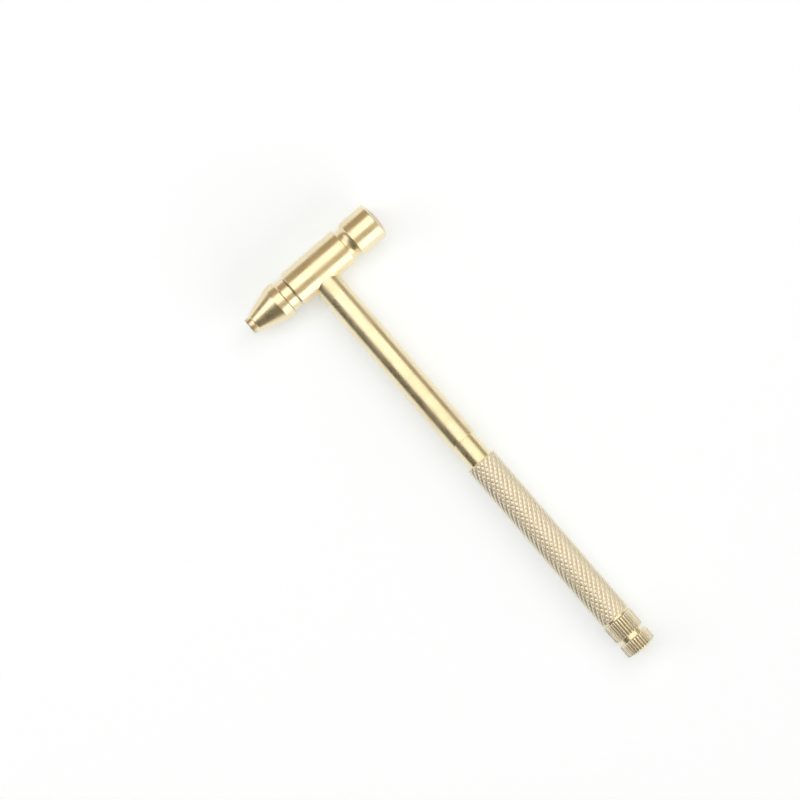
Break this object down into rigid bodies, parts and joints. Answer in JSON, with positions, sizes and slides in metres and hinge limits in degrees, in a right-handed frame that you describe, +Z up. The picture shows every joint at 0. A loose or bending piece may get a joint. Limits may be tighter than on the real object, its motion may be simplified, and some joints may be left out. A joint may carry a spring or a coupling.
{
  "type": "hammer with nested screwdrivers",
  "caption": "Small brass hammer with a conical pein and a crowned face; its knurled hollow handle unscrews into nested screwdrivers.",
  "frame": {"origin": "middle of the overall box, at the height of the surface the hammer lies on", "axes": "The hammer lies on its side: +Y along the handle from the tail towards the head, +X along the head towards the crowned face, +Z up from the surface it lies on."},
  "size_m": [0.052, 0.162, 0.0124],
  "materials": {
    "polished_brass": "turned and polished",
    "knurled_brass": "knurled or fluted, lightly dulled",
    "blade_steel": "ground"
  },
  "bodies": {
    "hammer": {"head": "polished_brass", "handle_tube": "polished_brass"},
    "large_driver": {"grip": "knurled_brass", "large_blade": "blade_steel"},
    "cross_driver": {"middle_knob": "knurled_brass", "cross_bit": "blade_steel"},
    "small_driver": {"end_knob": "knurled_brass", "small_blade": "blade_steel"},
    "fine_driver": {"tail_cap": "polished_brass", "fine_blade": "blade_steel"}
  },
  "joints": [
    {"name": "grip_draw", "type": "slide", "parent": "hammer", "child": "large_driver", "axis": [0, -1, 0], "range_m": [0, 0.066]},
    {"name": "middle_knob_draw", "type": "slide", "parent": "large_driver", "child": "cross_driver", "axis": [0, -1, 0], "range_m": [0, 0.064]},
    {"name": "end_knob_draw", "type": "slide", "parent": "cross_driver", "child": "small_driver", "axis": [0, -1, 0], "range_m": [0, 0.046]},
    {"name": "tail_cap_draw", "type": "slide", "parent": "small_driver", "child": "fine_driver", "axis": [0, -1, 0], "range_m": [0, 0.034]}
  ]
}
